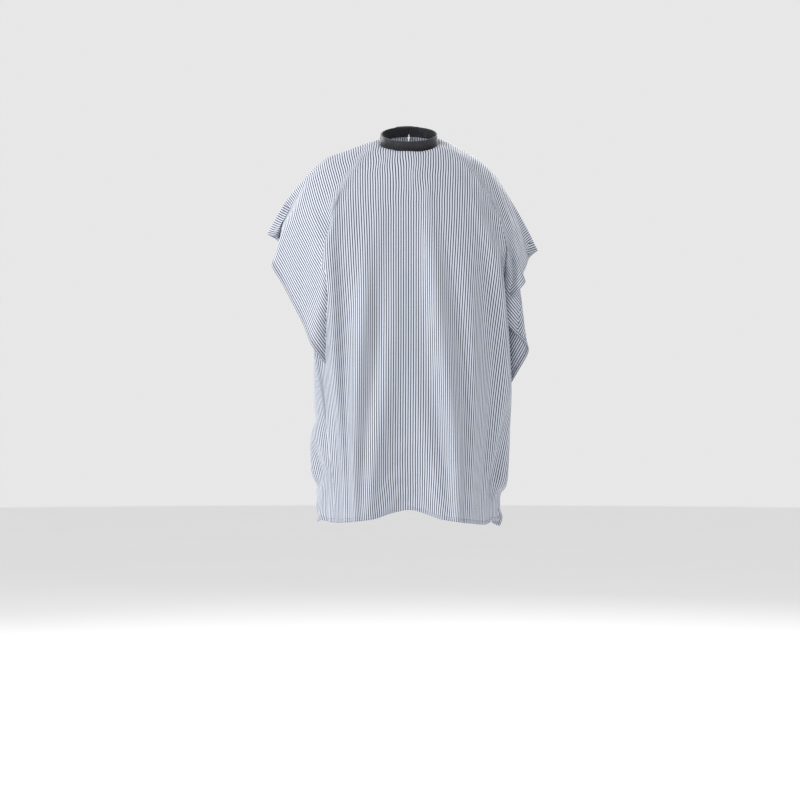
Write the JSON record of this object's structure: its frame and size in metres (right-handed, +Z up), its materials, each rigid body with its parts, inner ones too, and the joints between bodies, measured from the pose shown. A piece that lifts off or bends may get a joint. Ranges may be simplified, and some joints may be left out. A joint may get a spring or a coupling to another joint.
{
  "type": "barber cape",
  "caption": "Hanging barber cape of pinstriped woven cloth with hemmed edges, an open back and a stiffened neckband closed by a tab with press studs.",
  "frame": {"origin": "centre of the neckband, on the axis of the neck opening and half-way up the band", "axes": "+Z up, the front of the cape faces -Y, +X is the wearer's left; the neckband leans 22 degrees forward about X"},
  "size_m": [0.586, 0.376, 0.9447],
  "materials": {
    "striped_cloth": "plain woven polyester, off-white with thin dark navy pinstripes",
    "hem_cloth": "the same cloth turned twice and stitched",
    "band_fabric": "black satin-faced strip with topstitching",
    "stiffener": "bonded interlining",
    "stud_metal": "nickel-plated press stud"
  },
  "bodies": {
    "cape": {"cape_cloth": "striped_cloth", "neck_edge": "striped_cloth", "front_hem": "hem_cloth", "side_hem_left": "hem_cloth", "side_hem_right": "hem_cloth", "back_hem_left": "hem_cloth", "back_hem_right": "hem_cloth", "opening_facing_left": "hem_cloth", "opening_facing_right": "hem_cloth", "neckband": "band_fabric", "neckband_stiffener": "stiffener", "closure_tab_root": "band_fabric", "socket_1": "stud_metal", "socket_2": "stud_metal", "socket_3": "stud_metal", "socket_4": "stud_metal", "socket_5": "stud_metal", "socket_6": "stud_metal", "socket_ring_1": "stud_metal", "socket_ring_2": "stud_metal", "socket_ring_3": "stud_metal", "socket_ring_4": "stud_metal", "socket_ring_5": "stud_metal", "socket_ring_6": "stud_metal"},
    "tab": {"closure_tab": "band_fabric", "tab_stiffener": "stiffener", "stud": "stud_metal", "stud_cap": "stud_metal"}
  },
  "joints": [
    {"name": "tab_peel", "type": "hinge", "parent": "cape", "child": "tab", "pos_m": [0.00305, 0.064, 0.02828], "axis": [0, 0.3746, -0.9272], "range_deg": [0, 120]}
  ]
}
